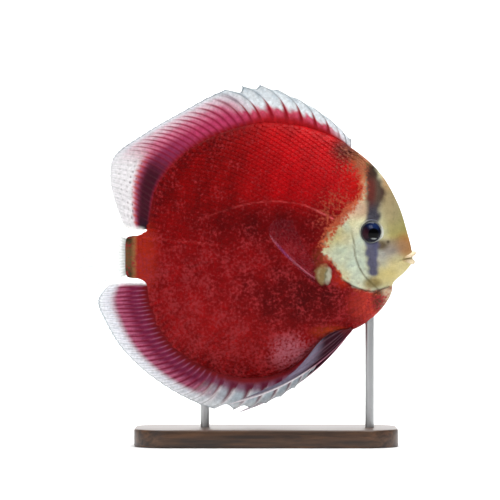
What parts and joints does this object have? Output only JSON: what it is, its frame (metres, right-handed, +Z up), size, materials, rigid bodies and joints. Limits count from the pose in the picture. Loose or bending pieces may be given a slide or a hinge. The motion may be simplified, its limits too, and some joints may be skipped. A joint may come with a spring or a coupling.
{
  "type": "display model of a discus fish",
  "caption": "Life-size display model of a red discus fish with raised fins, swimming level above a flat stand on two thin rods.",
  "frame": {"origin": "on the floor under the middle of the whole model's length and width", "axes": "+X towards the snout, +Y towards the fish's own left side, +Z up"},
  "size_m": [0.1573, 0.056, 0.1627],
  "materials": {
    "head_skin": "satin painted resin, cream with an olive brow and a dark bar through the eye",
    "flank_skin": "satin painted resin, scarlet to maroon with fine scales",
    "stalk_skin": "satin painted resin, orange-red",
    "gill_cover_skin": "satin painted resin, pale cream",
    "eye": "polished glass eye, black pupil in a dark iris",
    "dorsal_fin": "thin translucent resin, rose with raised rays",
    "anal_fin": "thin translucent resin, plum with raised rays",
    "clear_fin": "thin, nearly clear resin with raised rays",
    "pelvic_fin": "thin resin, dark plum with a white leading ray",
    "stand_base": "dark walnut, satin varnish",
    "stand_rod": "brushed"
  },
  "bodies": {
    "root": {"head": "head_skin", "trunk": "flank_skin", "tail_stalk": "stalk_skin", "gill_cover_right": "gill_cover_skin", "eye_right": "eye", "gill_cover_left": "gill_cover_skin", "eye_left": "eye", "dorsal_fin_spines": "dorsal_fin", "dorsal_fin_middle": "dorsal_fin", "dorsal_fin_rear": "dorsal_fin", "anal_fin_spines": "anal_fin", "anal_fin_middle": "anal_fin", "anal_fin_rear": "anal_fin", "tail_fin": "clear_fin", "pectoral_fin_right": "clear_fin", "pectoral_fin_left": "clear_fin", "pelvic_fin_right": "pelvic_fin", "pelvic_fin_left": "pelvic_fin", "stand_base": "stand_base", "stand_rod_front": "stand_rod", "stand_rod_rear": "stand_rod"}
  },
  "joints": []
}
